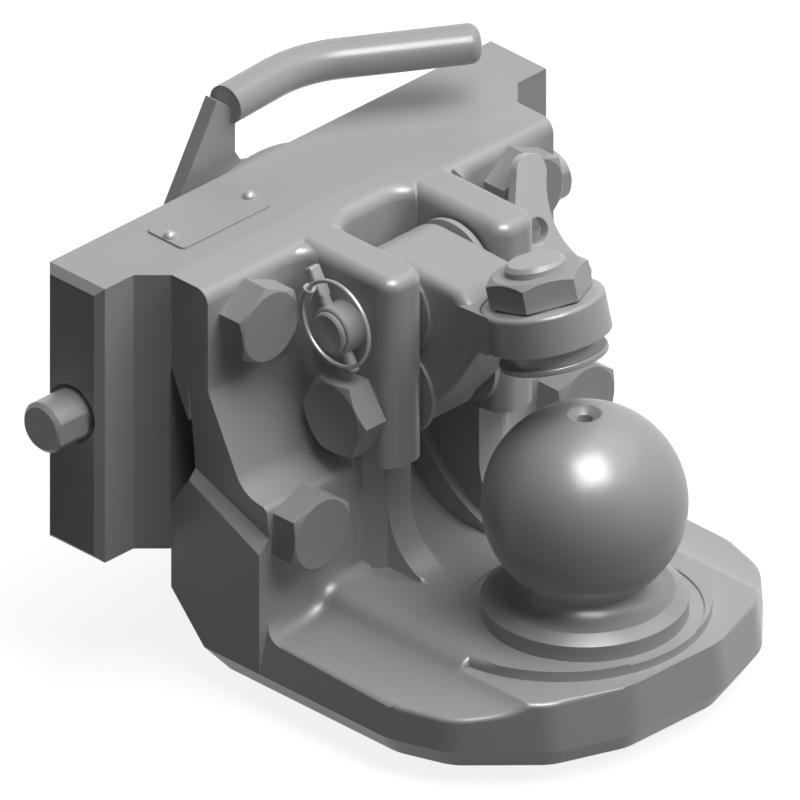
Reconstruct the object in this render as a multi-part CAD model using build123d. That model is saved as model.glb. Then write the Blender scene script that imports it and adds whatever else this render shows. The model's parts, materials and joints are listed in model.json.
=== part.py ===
from build123d import *
import math
import os

os.makedirs("parts", exist_ok=True)

# Frame: X across the hitch, -Y towards the ball, +Z up, in mm.
# The origin is on the axis of the two locking bolts, at mid-width and mid-thickness of the slide tongue.

# Clearances
FIT = 0.05          # radial running clearance of a turned pin in its bore
SLOT_FIT = 0.15     # each side of a follower in its slot
GAP = 0.4           # between faces that move past each other

# Slide plate that rides in the tractor's ladder frame
TONGUE_W = 246.0
TONGUE_T = 30.0
PLATE_TOP = 60.0
PLATE_LOW = -61.5
PAD_W = 189.0       # raised middle that carries the bracket
PAD_T = 10.0
END_BEVEL = 3.0
TONGUE_FRONT = -TONGUE_T / 2
TONGUE_BACK = TONGUE_T / 2
PAD_FRONT = TONGUE_FRONT - PAD_T

# Locking bolts
BOLT_R = 10.5
BOLT_END = 140.0    # outer end, locked
BOLT_LEN = 104.0
BOLT_CHAMFER = 1.6
BOLT_FLAT = 9.6     # distance of the flat from the axis
BOLT_FLAT_LEN = 40.0
BOLT_STROKE = 21.0
BORE_FLOOR = 12.0   # half width of the solid metal between the two bores
BORE_MOUTH = 2.0
BOLT_NECK = 0.5     # depth of the relief groove beside the tongue's end

# Cam, lever and bar handle behind the plate
TURN_DEG = 50.0
FOLLOWER_R = 4.0
FOLLOWER_X = 48.0   # locked distance of each follower from the cam axis
CAM_R = 57.0
CAM_T = 6.0
CAM_AIR = 1.0       # between the plate and the cam
LEVER_T = 6.5
PIVOT_R = 7.0
PIVOT_DEPTH = 20.0
PIVOT_AF = 22.0
PIVOT_HEAD = 7.5
WASHER_R = 15.0
WASHER_T = 2.5
BAR_R = 8.0
BAR_Z = 83.0
BAR_START = (-15.0, 24.4)
BAR_KNEE = (28.0, 27.0)
BAR_END = (88.0, -10.8)
BAR_BEND_R = 50.0
CAM_Y0 = TONGUE_BACK + CAM_AIR
LEVER_Y0 = CAM_Y0 + CAM_T
LEVER_Y1 = LEVER_Y0 + LEVER_T

# Bracket casting
WING = 94.0         # half width
FLANGE_T = 20.0
FLANGE_FRONT = PAD_FRONT - FLANGE_T
BLOCK_FRONT = -73.0
LEDGE_Z = -26.0
END_FALL = (0.677, -0.313, 0.666)   # normal of the sloping top at each end of the block
PANEL_TOP = 16.0
TOP_ROUND = 6.0
EAR_IN = 20.0
EAR_OUT = 41.0
EAR_TIP = -91.0
EAR_LOW = -23.0
WELL_BACK = -39.0
WELL_CORNER_R = 10.0
EAR_ROOT_R = 9.0
FOOT_R = 8.0
WEB_IN = 18.6
WEB_OUT = 31.0
WEB_FRONT = -80.0
WEB_SWEEP = 27.0
WEB_ROOT_R = 5.0
CHANNEL_HALF = 14.0
CHANNEL_R = 42.0
STEP_R = 63.0
SHELF_TOP = -73.0
SHELF_PARTING = -98.0
SHELF_BOTTOM = -107.0
SHELF_FRONT = -208.0
SHELF_OUTLINE = [(WING, -40.0), (WING, -143.0), (85.5, -167.5), (56.5, -196.0), (24.0, SHELF_FRONT)]
SHELF_RIM = [(WING - 5.7, -40.0), (WING - 5.7, -145.0), (83.5, -167.5), (56.0, -193.0), (23.0, SHELF_FRONT + 3.0)]
SHELF_CORNER_R = 26.0
SHELF_DRAFT_DOWN = 35.0
RIB_HALF = 58.0
RIB_ROUND = 4.0
POCKET_DROP = 10.0
NOSE_R = 58.5
NOSE_Y = -143.0
NOSE_DROP = 4.5

# Mounting bolts, four M20
M20_R = 10.0
M20_AF = 30.0
M20_HEAD = 12.5
MOUNT_X = 72.0
MOUNT_Z_HIGH = 41.0
MOUNT_Z_LOW = -39.6
MOUNT_DEPTH = 22.0
MOUNT_TURN_HIGH = 5.6
MOUNT_TURN_LOW = -5.0

# Ball stud K80 and what holds it from below
BALL_R = 40.0
BALL_Y = -156.0
BALL_Z = -26.0
SEAT_R = 46.3
SEAT_SINK = 0.8
BALL_FLANGE_R = 40.3
BALL_FLANGE_H = 6.6
BALL_SHOULDER_R = 35.0
BALL_NECK_R = 24.0
STEM_R = 20.0
DISC_R = 27.0
DISC_T = 8.0
DISC_RECESS = 12.0
M16_R = 8.0
M16_AF = 24.0
M16_HEAD = 10.0
M16_DEPTH = 30.0
CENTRE_DRILL_R = 3.2
CENTRE_SINK_R = 6.8

# Hold-down lever, its hinge pin and its stop bolt
ARM_HALF = 17.0
CHEEK_HALF = 18.4    # the round cheeks beside the two pins
ARM_TOP = 54.0
ARM_ROUND = 4.5
PIN_Y = -67.7
PIN_Z = 33.8
PIN_R = 10.0
PIN_BOSS_R = 21.5
STOP_Y = -71.8
STOP_Z = -1.4
STOP_BOSS_R = 19.5
SPOT_R = 18.2       # spot face under the stop bolt's head
LIFT_DEG = 70.0
EYE_TILT = 16.0     # the clamp axis leans back and passes through the ball's centre
EYE_R = 24.5
EYE_LOW = 68.5      # distances along the clamp axis from the ball's centre
EYE_TOP = 84.5
PAD_LOW = 59.6
PAD_RIM_T = 2.6
PAD_RIM_R = 21.5
PAD_NECK_R = 18.5
SCREW_TOP = 100.3
SCREW_R = 12.0
SCREW_TRAVEL = 8.0
NUT24_AF = 36.0
NUT24_H = 12.0

# Hinge pin ends, grip plate and linch pin
PIN_LEFT = -52.0
PIN_NECK_R = 8.5
PIN_RIGHT = 47.5
GRIP_T = 4.5
GRIP_HOLE = (57.6, -72.9, 37.0)
GRIP_TILT = 21.4
GRIP_HOLE_R = 5.3
LINCH_R = 2.4
LINCH_X = -46.5
LINCH_TILT = 32.0
LINCH_REACH = 18.5
LINCH_HEAD = 20.0
LINCH_HEAD_W = 5.6
LINCH_HEAD_T = 4.4
LINCH_HEAD_L = 13.0
EYE_ARM_R = 1.7
RING_WIRE_R = 0.9
RING_PIN_R = 1.1
RING_EYE_R = 2.4
RING_EYE_HALF = 3.5
RING_X = -55.0
RING_R = 17.8
RING_CENTRE = (-75.7, 42.8)
STOP_TURN = 33.0
NUT24_TURN = 0.0

# Nameplate
NAME_L = 49.0
NAME_W = 20.5
NAME_T = 0.8
NAME_X = -53.0
NAME_Y = -5.0
NAME_RIVET_X = 21.6
RIVET_R = 2.6
RIVET_SHANK_R = 1.5
RIVET_DEPTH = 4.0


def box(x0, x1, y0, y1, z0, z1):
    """Block between two corners."""
    return Pos((x0 + x1) / 2, (y0 + y1) / 2, (z0 + z1) / 2) * Box(abs(x1 - x0), abs(y1 - y0), abs(z1 - z0))


def rod(radius, start, end):
    """Round bar from one point to another."""
    a = Vector(*start)
    b = Vector(*end)
    plane = Plane(origin=a, z_dir=b - a)
    return extrude(plane * Circle(radius), (b - a).length)


def hexagon(flats, start, end, turn=0.0):
    """Hexagonal head from its seat to its free end, with the free end's corners chamfered at 30 degrees."""
    a = Vector(*start)
    b = Vector(*end)
    length = (b - a).length
    plane = Plane(origin=a, z_dir=b - a)
    corner = flats / math.sqrt(3)
    cut = corner - flats / 2 * 0.96
    body = extrude(plane * Rot(0, 0, turn) * RegularPolygon(corner, 6), length)
    lower = plane * Pos(0, 0, (length - cut * 0.577) / 2) * Cylinder(corner, length - cut * 0.577)
    upper = plane * Pos(0, 0, length - cut * 0.577 / 2) * Cone(corner, corner - cut, cut * 0.577)
    return body & (lower + upper)


def prism_x(side_points, x0, x1, rounds=()):
    """Side profile, listed as (y, z), pushed across from x0 to x1, with some corners rounded."""
    face = make_face(Polyline(*side_points, close=True))
    body = extrude(Plane(origin=(x0, 0, 0), x_dir=(0, 1, 0), z_dir=(1, 0, 0)) * face, x1 - x0)
    for (y, z), radius in rounds:
        corner = body.edges().filter_by(Axis.X).sort_by_distance(((x0 + x1) / 2, y, z))[0]
        body = fillet(corner, radius)
    return body


def both_sides(solid):
    """The solid and its mirror image across the middle plane."""
    return solid + mirror(solid, Plane.YZ)


def save(shape, name):
    """Write one node as a STEP file."""
    export_step(shape, f"parts/{name}.step")


def prism_z(outline, z0, z1):
    """Plan outline, listed as (x, y), raised from z0 to z1."""
    return extrude(Pos(0, 0, z0) * make_face(Polyline(*outline, close=True)), z1 - z0)


def prism_y(outline, y0, y1):
    """Front outline, listed as (x, z), pushed forward from y0 to y1, where y1 is nearer to the ball."""
    plane = Plane(origin=(0, y0, 0), x_dir=(1, 0, 0), z_dir=(0, -1, 0))
    return extrude(plane * make_face(Polyline(*outline, close=True)), y0 - y1)


def slide_plate():
    """Tongue with the raised pad, bevelled ends, bolt bores, follower slots and blind holes for the rivets."""
    half = TONGUE_W / 2
    pad = PAD_W / 2
    tongue = box(-half, half, TONGUE_FRONT, TONGUE_BACK, PLATE_LOW, PLATE_TOP)
    ends = tongue.faces().sort_by(Axis.X)[0].edges() + tongue.faces().sort_by(Axis.X)[-1].edges()
    tongue = chamfer(ends, END_BEVEL)
    raised = [(-pad - PAD_T, TONGUE_FRONT), (-pad, PAD_FRONT), (pad, PAD_FRONT), (pad + PAD_T, TONGUE_FRONT)]
    body = tongue + prism_z(raised, PLATE_LOW, PLATE_TOP)
    bore_r = BOLT_R + FIT
    slot_half = FOLLOWER_R + SLOT_FIT
    for side in (-1, 1):
        body -= rod(bore_r, (side * BORE_FLOOR, 0, 0), (side * (half + 1), 0, 0))
        mouth = Cone(bore_r, bore_r + BORE_MOUTH, BORE_MOUTH)
        body -= Pos(side * (half - BORE_MOUTH / 2), 0, 0) * Rot(0, side * 90, 0) * mouth
        inner = FOLLOWER_X - BOLT_STROKE
        body -= box(side * inner, side * FOLLOWER_X, 0, TONGUE_BACK + 1, -slot_half, slot_half)
        for x in (inner, FOLLOWER_X):
            body -= rod(slot_half, (side * x, 0, 0), (side * x, TONGUE_BACK + 1, 0))
        for z in (MOUNT_Z_HIGH, MOUNT_Z_LOW):
            body -= rod(M20_R, (side * MOUNT_X, PAD_FRONT - 1, z), (side * MOUNT_X, PAD_FRONT + MOUNT_DEPTH, z))
    body -= rod(PIVOT_R, (0, TONGUE_BACK + 1, 0), (0, TONGUE_BACK - PIVOT_DEPTH, 0))
    for side in (-1, 1):
        x = NAME_X + side * NAME_RIVET_X
        body -= rod(RIVET_SHANK_R, (x, NAME_Y, PLATE_TOP - RIVET_DEPTH), (x, NAME_Y, PLATE_TOP + 1))
    return body


def locking_bolt(side):
    """Round bolt with a flat near its free end and a cross hole for its follower."""
    start = side * (BOLT_END - BOLT_LEN)
    bolt = chamfer(rod(BOLT_R, (start, 0, 0), (side * BOLT_END, 0, 0)).edges().filter_by(GeomType.CIRCLE), BOLT_CHAMFER)
    flat_start = side * (BOLT_END - BOLT_FLAT_LEN)
    bolt -= box(flat_start, side * (BOLT_END + 1), -BOLT_FLAT, -BOLT_R - 1, -BOLT_R, BOLT_R)
    neck = side * TONGUE_W / 2
    bolt -= rod(BOLT_R + 1, (neck, 0, 0), (neck + side, 0, 0)) - rod(BOLT_R - BOLT_NECK, (neck, 0, 0), (neck + side, 0, 0))
    bolt -= rod(FOLLOWER_R, (side * FOLLOWER_X, -6, 0), (side * FOLLOWER_X, BOLT_R + 1, 0))
    return bolt


def follower(side):
    """Pin pressed into a locking bolt, riding in the cam slot."""
    pin = rod(FOLLOWER_R, (side * FOLLOWER_X, -6, 0), (side * FOLLOWER_X, LEVER_Y0 - GAP, 0))
    return chamfer(pin.edges().filter_by(GeomType.CIRCLE), 0.5)


def cam_slot(side):
    """Spiral slot whose distance from the axis falls evenly with the turn."""
    turn = math.radians(TURN_DEG)
    steps = 10
    rate = BOLT_STROKE / turn
    path = []
    for i in range(steps + 1):
        angle = turn * i / steps
        radius = FOLLOWER_X - rate * angle
        path.append((radius * math.cos(angle), -radius * math.sin(angle)))
    half = FOLLOWER_R + SLOT_FIT
    outer = []
    inner = []
    for i in range(steps + 1):
        angle = turn * i / steps
        radius = FOLLOWER_X - rate * angle
        heading = Vector(-rate * math.cos(angle) - radius * math.sin(angle),
                         rate * math.sin(angle) - radius * math.cos(angle)).normalized()
        outer.append((path[i][0] - heading.Y * half, path[i][1] + heading.X * half))
        inner.append((path[i][0] + heading.Y * half, path[i][1] - heading.X * half))
    sides = [Spline(*outer), Line(outer[-1], inner[-1]), Spline(*inner), Line(inner[0], outer[0])]
    face = make_face(sides) + Pos(*path[0]) * Circle(half) + Pos(*path[-1]) * Circle(half)
    plane = Plane(origin=(0, CAM_Y0 - 1, 0), x_dir=(-1, 0, 0), z_dir=(0, 1, 0))
    cut = extrude(plane * mirror(face, Plane.YZ), CAM_T + 1)
    return cut if side > 0 else Rot(0, 180, 0) * cut


def bar_handle():
    """Round bar that starts on the lever behind the plate and bends forward over it."""
    start = (BAR_START[0], BAR_START[1], BAR_Z)
    knee = (BAR_KNEE[0], BAR_KNEE[1], BAR_Z)
    end = (BAR_END[0], BAR_END[1], BAR_Z)
    path = FilletPolyline(start, knee, end, radius=BAR_BEND_R)
    bar = sweep(Plane(origin=start, z_dir=Vector(*knee) - Vector(*start)) * Circle(BAR_R), path=path)
    tip = bar.faces().sort_by_distance(Vector(*end))[0]
    return fillet(tip.edges(), BAR_R * 0.55)


def cam_disc():
    """Cam with its two spiral slots."""
    disc = rod(CAM_R, (0, CAM_Y0, 0), (0, LEVER_Y0, 0))
    for side in (-1, 1):
        disc -= cam_slot(side)
    return disc - rod(PIVOT_R + FIT, (0, CAM_Y0 - 1, 0), (0, LEVER_Y0 + 1, 0))


def lever_plate():
    """Lever sheet on the cam, rising to carry the bar handle."""
    outline = [(-21.8, 88.5), (-55.0, 32.0), (-46.0, -10.0), (-16.0, -24.0), (16.0, -24.0), (46.0, -6.0),
               (34.0, 40.0), (-7.0, 54.0), (-12.0, 62.0), (-12.0, 79.0), (-16.0, 84.0)]
    plate = prism_y(outline, LEVER_Y1, LEVER_Y0)
    corner = plate.edges().filter_by(Axis.Y).sort_by_distance((-7.0, LEVER_Y0, 54.0))[0]
    plate = fillet(corner, 3.0)
    return plate - rod(PIVOT_R + FIT, (0, LEVER_Y0 - 1, 0), (0, LEVER_Y1 + 1, 0))


def pivot_bolt():
    """Shoulder bolt that carries the cam, with a washer face and a hexagon."""
    seat = LEVER_Y1 + GAP + WASHER_T
    shank = rod(PIVOT_R, (0, TONGUE_BACK - PIVOT_DEPTH, 0), (0, seat, 0))
    return shank + hexagon(PIVOT_AF, (0, seat, 0), (0, seat + PIVOT_HEAD, 0))


def pivot_washer():
    """Washer between the lever and the bolt head."""
    ring = rod(WASHER_R, (0, LEVER_Y1 + GAP, 0), (0, LEVER_Y1 + GAP + WASHER_T, 0))
    return ring - rod(PIVOT_R, (0, LEVER_Y1, 0), (0, LEVER_Y1 + GAP + WASHER_T + 1, 0))


def ear(side):
    """Cheek beside the hold-down, rounded towards the ball."""
    body = box(EAR_IN, EAR_OUT, FLANGE_FRONT + 4, EAR_TIP, EAR_LOW, PLATE_TOP)
    upright = body.edges().filter_by(Axis.Z).group_by(Axis.Y)[0]
    body = fillet(upright, 8.0)
    rim = body.faces().sort_by(Axis.Z)[-1].edges()
    rim = rim.filter_by(lambda e: e.center().Y < FLANGE_FRONT + 3.9 and not (e.geom_type == GeomType.LINE and e.center().X < EAR_IN + 1))
    body = fillet(rim, TOP_ROUND * 0.9)
    body = body if side > 0 else mirror(body, Plane.YZ)
    return body


def shelf_pocket():
    """Air over the rib and the valley beside it on the right, closed behind by a concave round at the block."""
    top = SHELF_TOP + FOOT_R + 1
    floor = SHELF_TOP - POCKET_DROP
    start = (RIB_HALF - RIB_ROUND, SHELF_TOP)
    flank = (RIB_HALF + 3.0, SHELF_TOP - RIB_ROUND * 0.8)
    inner = WEB_OUT + 6.0
    outline = [Line((inner, top), (inner, SHELF_TOP)), Line((inner, SHELF_TOP), start),
               ThreePointArc(start, (RIB_HALF + 0.6, SHELF_TOP - 1.3), flank),
               Spline(flank, (RIB_HALF + 8.5, SHELF_TOP - 7.6), (RIB_HALF + 17.0, floor), (RIB_HALF + 24.0, floor - 0.9),
                      (WING + 3, floor - 1.0)),
               Line((WING + 3, floor - 1.0), (WING + 3, top)), Line((WING + 3, top), (inner, top))]
    plane = Plane(origin=(0, BLOCK_FRONT, 0), x_dir=(1, 0, 0), z_dir=(0, -1, 0))
    air = extrude(plane * make_face(outline), BLOCK_FRONT - SHELF_FRONT + 1)
    foot = air.edges().filter_by(lambda e: abs(e.center().Y - BLOCK_FRONT) < 0.01 and e.center().Z < SHELF_TOP + 0.01)
    foot = foot.filter_by(lambda e: abs(e.center().X - WING - 3) > 0.1)
    return fillet(foot, FOOT_R)


def outline_face(corners, z):
    """Plan outline of the shelf at one height, mirrored across the middle and rounded at its corners."""
    left = [(-x, y) for x, y in corners]
    right = list(reversed(corners))
    curve = FilletPolyline(*(left + right), radius=SHELF_CORNER_R)
    return Pos(0, 0, z) * make_face([curve, Line(right[-1], left[0])])


def shelf():
    """Platform that carries the ball, with a drafted rim, two side pockets and a lowered nose."""
    parting = outline_face(SHELF_OUTLINE, SHELF_PARTING)
    body = loft([outline_face(SHELF_RIM, SHELF_TOP), parting], ruled=True)
    body += extrude(parting, SHELF_BOTTOM - SHELF_PARTING, taper=SHELF_DRAFT_DOWN)
    shoulder = box(WEB_OUT + 6, WING - 6.0, BLOCK_FRONT + 5, BLOCK_FRONT - FOOT_R, SHELF_TOP - 15, SHELF_TOP + FOOT_R)
    body += both_sides(shoulder)
    nose = box(-WING, WING, NOSE_Y - 8, SHELF_FRONT - 1, SHELF_TOP - NOSE_DROP, SHELF_TOP + 1)
    body -= nose - Pos(0, NOSE_Y, SHELF_TOP) * Cylinder(NOSE_R, 40)
    air = shelf_pocket()
    body -= air
    body -= mirror(air, Plane.YZ)
    return body


def wing_body():
    """Flange, leaning panel, ledge and block over the whole width, falling away at both ends."""
    slope = (LEDGE_Z - PANEL_TOP) * 0.375
    foot = SHELF_PARTING
    wing = prism_x([(PAD_FRONT, PLATE_TOP), (FLANGE_FRONT, PLATE_TOP), (FLANGE_FRONT, PANEL_TOP),
                    (FLANGE_FRONT + slope, LEDGE_Z), (BLOCK_FRONT, LEDGE_Z), (BLOCK_FRONT, foot), (PAD_FRONT, foot)],
                   -WING, WING,
                   [((FLANGE_FRONT, PLATE_TOP), TOP_ROUND), ((FLANGE_FRONT, PANEL_TOP), 10.0),
                    ((FLANGE_FRONT + slope, LEDGE_Z), 14.0), ((BLOCK_FRONT, LEDGE_Z), 3.0)])
    fall = Plane(origin=(WING, PAD_FRONT - 9.6, LEDGE_Z - 1.3), z_dir=END_FALL)
    above = extrude(fall * Rectangle(300, 300), 100)
    side = prism_y([(WING + 1, PANEL_TOP), (WING, PANEL_TOP), (WING - 6.8, LEDGE_Z - 30), (WING + 1, LEDGE_Z - 30)],
                   PAD_FRONT - 9.6, BLOCK_FRONT - 1)
    cut = side & above
    wing -= cut
    wing -= mirror(cut, Plane.YZ)
    return wing


def bracket():
    """Casting: flange, wings, ears, webs, swept channel and shelf, with every bore."""
    foot = SHELF_TOP - 8
    body = wing_body() - well_tool()
    body += ear(1)
    body += ear(-1)
    body += both_sides(ear_corners())
    channel = prism_x([(PAD_FRONT, -10.0), (WELL_BACK, -10.0), (WELL_BACK, SHELF_TOP), (WELL_BACK - CHANNEL_R - 2, SHELF_TOP),
                       (WELL_BACK - CHANNEL_R - 2, foot), (PAD_FRONT, foot)],
                      -EAR_IN, EAR_IN, [((WELL_BACK, SHELF_TOP), CHANNEL_R)])
    body += channel
    step_back = WELL_BACK - 5
    step = prism_x([(PAD_FRONT, SHELF_TOP + STEP_R + 1), (step_back, SHELF_TOP + STEP_R + 1), (step_back, SHELF_TOP),
                    (step_back - STEP_R - 1, SHELF_TOP), (step_back - STEP_R - 1, foot), (PAD_FRONT, foot)],
                   CHANNEL_HALF, WEB_IN, [((step_back, SHELF_TOP), STEP_R)])
    body += both_sides(step)
    reach = WEB_SWEEP
    web = prism_x([(PAD_FRONT, EAR_LOW), (WEB_FRONT, EAR_LOW), (WEB_FRONT, SHELF_TOP), (WEB_FRONT - reach - 1, SHELF_TOP),
                   (WEB_FRONT - reach - 1, foot), (PAD_FRONT, foot)], WEB_IN, WEB_OUT, [((WEB_FRONT, SHELF_TOP), reach)])
    body += both_sides(web)
    blend = prism_z([(WEB_OUT, PAD_FRONT), (WEB_OUT, WEB_FRONT), (WEB_OUT + 2, WEB_FRONT + 0.4), (WEB_OUT + 5, WEB_FRONT + 3),
                     (WEB_OUT + 8, BLOCK_FRONT - 1), (WEB_OUT + 12, BLOCK_FRONT), (WEB_OUT + 12, PAD_FRONT)], foot, EAR_LOW)
    body += both_sides(blend)
    side = Plane(origin=(WEB_OUT, WEB_FRONT + 20, SHELF_TOP), x_dir=(1, 0, 0), z_dir=(0, -1, 0))
    body += both_sides(side * mirror(hollow_corner(WEB_ROOT_R, 36.0), Plane.XZ))
    body += shelf()
    body -= prism_x([(PAD_FRONT + 1, SHELF_TOP - 4.5), (PAD_FRONT - 27, SHELF_BOTTOM - 1), (PAD_FRONT + 1, SHELF_BOTTOM - 1)],
                    -WING - 5, WING + 5)
    groove = [(PAD_FRONT + 1, 22.0), (PAD_FRONT, 19.8), (PAD_FRONT - 4, 10.0), (PAD_FRONT - 9.6, -1.0), (PAD_FRONT - 9.6, -27.3),
              (PAD_FRONT - 6, -32.0), (PAD_FRONT, -42.4), (PAD_FRONT + 1, -44.0)]
    body -= prism_x(groove, -WING - 1, WING + 1)
    for side in (-1, 1):
        for z in (MOUNT_Z_HIGH, MOUNT_Z_LOW):
            body -= rod(M20_R + 0.5, (side * MOUNT_X, PAD_FRONT + 1, z), (side * MOUNT_X, BLOCK_FRONT - 20, z))
    body -= rod(SPOT_R, (-EAR_OUT, STOP_Y, STOP_Z), (-EAR_OUT - 20, STOP_Y, STOP_Z))
    body -= rod(PIN_R, (-EAR_OUT - 1, PIN_Y, PIN_Z), (EAR_OUT + 1, PIN_Y, PIN_Z))
    body -= rod(M20_R, (-EAR_OUT - 1, STOP_Y, STOP_Z), (EAR_OUT + 1, STOP_Y, STOP_Z))
    body -= rod(SEAT_R, (0, BALL_Y, SHELF_TOP - SEAT_SINK), (0, BALL_Y, SHELF_TOP + 3))
    body -= rod(STEM_R, (0, BALL_Y, SHELF_TOP), (0, BALL_Y, SHELF_BOTTOM - 1))
    body -= rod(DISC_R + 0.5, (0, BALL_Y, SHELF_BOTTOM + DISC_RECESS), (0, BALL_Y, SHELF_BOTTOM - 1))
    return body


def hollow_corner(radius, length):
    """Bar that fills a square corner with a concave round, from its local origin along local z."""
    square = Pos(radius / 2, radius / 2) * Rectangle(radius, radius)
    return extrude(square - Pos(radius, radius) * Circle(radius), length)


def round_tool(axis_x, axis_y, inner, low):
    """Upright cutter of one radius that flares at the top of the plate, leaving a rounded rim round itself."""
    top = PLATE_TOP
    start = (inner, top - TOP_ROUND)
    end = (inner + TOP_ROUND, top)
    middle = (inner + TOP_ROUND * (1 - math.sqrt(0.5)), top - TOP_ROUND * (1 - math.sqrt(0.5)))
    profile = [Line((0, low), (inner, low)), Line((inner, low), start), ThreePointArc(start, middle, end),
               Line(end, (end[0], top + 1)), Line((end[0], top + 1), (0, top + 1)), Line((0, top + 1), (0, low))]
    return Pos(axis_x, axis_y, 0) * revolve(Plane.XZ * make_face(profile), Axis.Z, 360)


def well_tool():
    """Everything that the well between the ears takes away, with a rounded rim at the back and the corners."""
    foot = SHELF_TOP - 8
    centre_x = EAR_IN - WELL_CORNER_R
    centre_y = WELL_BACK - WELL_CORNER_R
    tool = box(-EAR_IN, EAR_IN, centre_y, BLOCK_FRONT - 30, foot - 1, PLATE_TOP + 1)
    tool += box(-centre_x, centre_x, WELL_BACK, centre_y - 1, foot - 1, PLATE_TOP + 1)
    rim = WELL_BACK + TOP_ROUND
    start = (WELL_BACK, PLATE_TOP - TOP_ROUND)
    middle = (WELL_BACK + TOP_ROUND * (1 - math.sqrt(0.5)), PLATE_TOP - TOP_ROUND * (1 - math.sqrt(0.5)))
    edge = [Line((WELL_BACK - 1, PLATE_TOP - TOP_ROUND), start), ThreePointArc(start, middle, (rim, PLATE_TOP)),
            Line((rim, PLATE_TOP), (rim, PLATE_TOP + 1)), Line((rim, PLATE_TOP + 1), (WELL_BACK - 1, PLATE_TOP + 1)),
            Line((WELL_BACK - 1, PLATE_TOP + 1), (WELL_BACK - 1, PLATE_TOP - TOP_ROUND))]
    plane = Plane(origin=(-centre_x, 0, 0), x_dir=(0, 1, 0), z_dir=(1, 0, 0))
    tool += extrude(plane * make_face(edge), 2 * centre_x)
    corner = round_tool(centre_x, centre_y, WELL_CORNER_R, foot - 1)
    corner &= box(centre_x, centre_x + 40, centre_y, centre_y + 40, foot - 1, PLATE_TOP + 1)
    return tool + both_sides(corner)


def ear_corners():
    """Concave rounds where the right ear meets the flange, the leaning panel and the ledge."""
    centre_x = EAR_OUT + EAR_ROOT_R
    centre_y = FLANGE_FRONT - EAR_ROOT_R
    upright = box(EAR_OUT - 1, centre_x, centre_y, FLANGE_FRONT + 1, EAR_LOW, PLATE_TOP)
    upright -= round_tool(centre_x, centre_y, EAR_ROOT_R, EAR_LOW - 1)
    slope = Vector(0, -0.375, -1).normalized()
    leaning = Plane(origin=Vector(EAR_OUT, FLANGE_FRONT, PANEL_TOP) - slope * 6, x_dir=(1, 0, 0), z_dir=slope)
    along_panel = leaning * hollow_corner(EAR_ROOT_R * 0.8, 44.0)
    level = Plane(origin=(EAR_OUT, FLANGE_FRONT - 8, LEDGE_Z), x_dir=(1, 0, 0), z_dir=(0, -1, 0))
    along_ledge = level * hollow_corner(EAR_ROOT_R * 0.7, FLANGE_FRONT - 8 - BLOCK_FRONT - 3.0)
    return upright + along_panel + along_ledge


def mounting_bolts():
    """Four M20 hexagon bolts, one solid each."""
    bolts = []
    for side in (-1, 1):
        for z, seat in ((MOUNT_Z_HIGH, FLANGE_FRONT), (MOUNT_Z_LOW, BLOCK_FRONT)):
            shank = rod(M20_R, (side * MOUNT_X, PAD_FRONT + MOUNT_DEPTH - 1, z), (side * MOUNT_X, seat, z))
            turn = MOUNT_TURN_HIGH if z == MOUNT_Z_HIGH else MOUNT_TURN_LOW
            head = hexagon(M20_AF, (side * MOUNT_X, seat, z), (side * MOUNT_X, seat - M20_HEAD, z), turn)
            bolts.append(shank + head)
    return Compound(children=bolts)


def ball_stud():
    """K80 ball on its flanged stud, centre-drilled on top and tapped from below."""
    seat = SHELF_TOP - SEAT_SINK
    shoulder = seat + BALL_FLANGE_H
    neck_z = BALL_Z - math.sqrt(BALL_R ** 2 - BALL_NECK_R ** 2)
    outline = [Line((0, seat - 20), (0, BALL_Z + BALL_R)),
               ThreePointArc((0, BALL_Z + BALL_R), (BALL_R, BALL_Z), (BALL_NECK_R, neck_z)),
               ThreePointArc((BALL_NECK_R, neck_z), (BALL_NECK_R + 3.4, neck_z - 4.2), (BALL_SHOULDER_R, shoulder + 3.2)),
               Line((BALL_SHOULDER_R, shoulder + 3.2), (BALL_FLANGE_R, shoulder)),
               Line((BALL_FLANGE_R, shoulder), (BALL_FLANGE_R, seat)),
               Line((BALL_FLANGE_R, seat), (STEM_R, seat)), Line((STEM_R, seat), (STEM_R, seat - 20)),
               Line((STEM_R, seat - 20), (0, seat - 20))]
    body = Pos(0, BALL_Y, 0) * revolve(Plane.XZ * make_face(outline), Axis.Z, 360)
    top = BALL_Z + BALL_R
    body -= rod(CENTRE_DRILL_R, (0, BALL_Y, top - 8), (0, BALL_Y, top + 1))
    body -= Pos(0, BALL_Y, top - 1.2) * Cone(CENTRE_DRILL_R, CENTRE_SINK_R + 1.6, 3.6)
    return body - rod(M16_R, (0, BALL_Y, seat - 21), (0, BALL_Y, seat - 20 + M16_DEPTH))


def stud_disc():
    """Retaining disc in the recess under the shelf."""
    top = SHELF_BOTTOM + DISC_RECESS
    disc = rod(DISC_R, (0, BALL_Y, top - DISC_T), (0, BALL_Y, top))
    return disc - rod(M16_R + 0.5, (0, BALL_Y, top - DISC_T - 1), (0, BALL_Y, top + 1))


def stud_screw():
    """M16 screw that pulls the ball stud down on its seat."""
    face = SHELF_BOTTOM + DISC_RECESS - DISC_T
    shank = rod(M16_R, (0, BALL_Y, face), (0, BALL_Y, SHELF_TOP - SEAT_SINK - 22 + M16_DEPTH))
    return shank + hexagon(M16_AF, (0, BALL_Y, face), (0, BALL_Y, face - M16_HEAD))


def along(t):
    """Point on the clamp axis, measured from the ball's centre."""
    lean = math.radians(EYE_TILT)
    return (0, BALL_Y + t * math.sin(lean), BALL_Z + t * math.cos(lean))


def along_axis():
    """Direction of the clamp axis, pointing up."""
    lean = math.radians(EYE_TILT)
    return (0, math.sin(lean), math.cos(lean))


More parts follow.
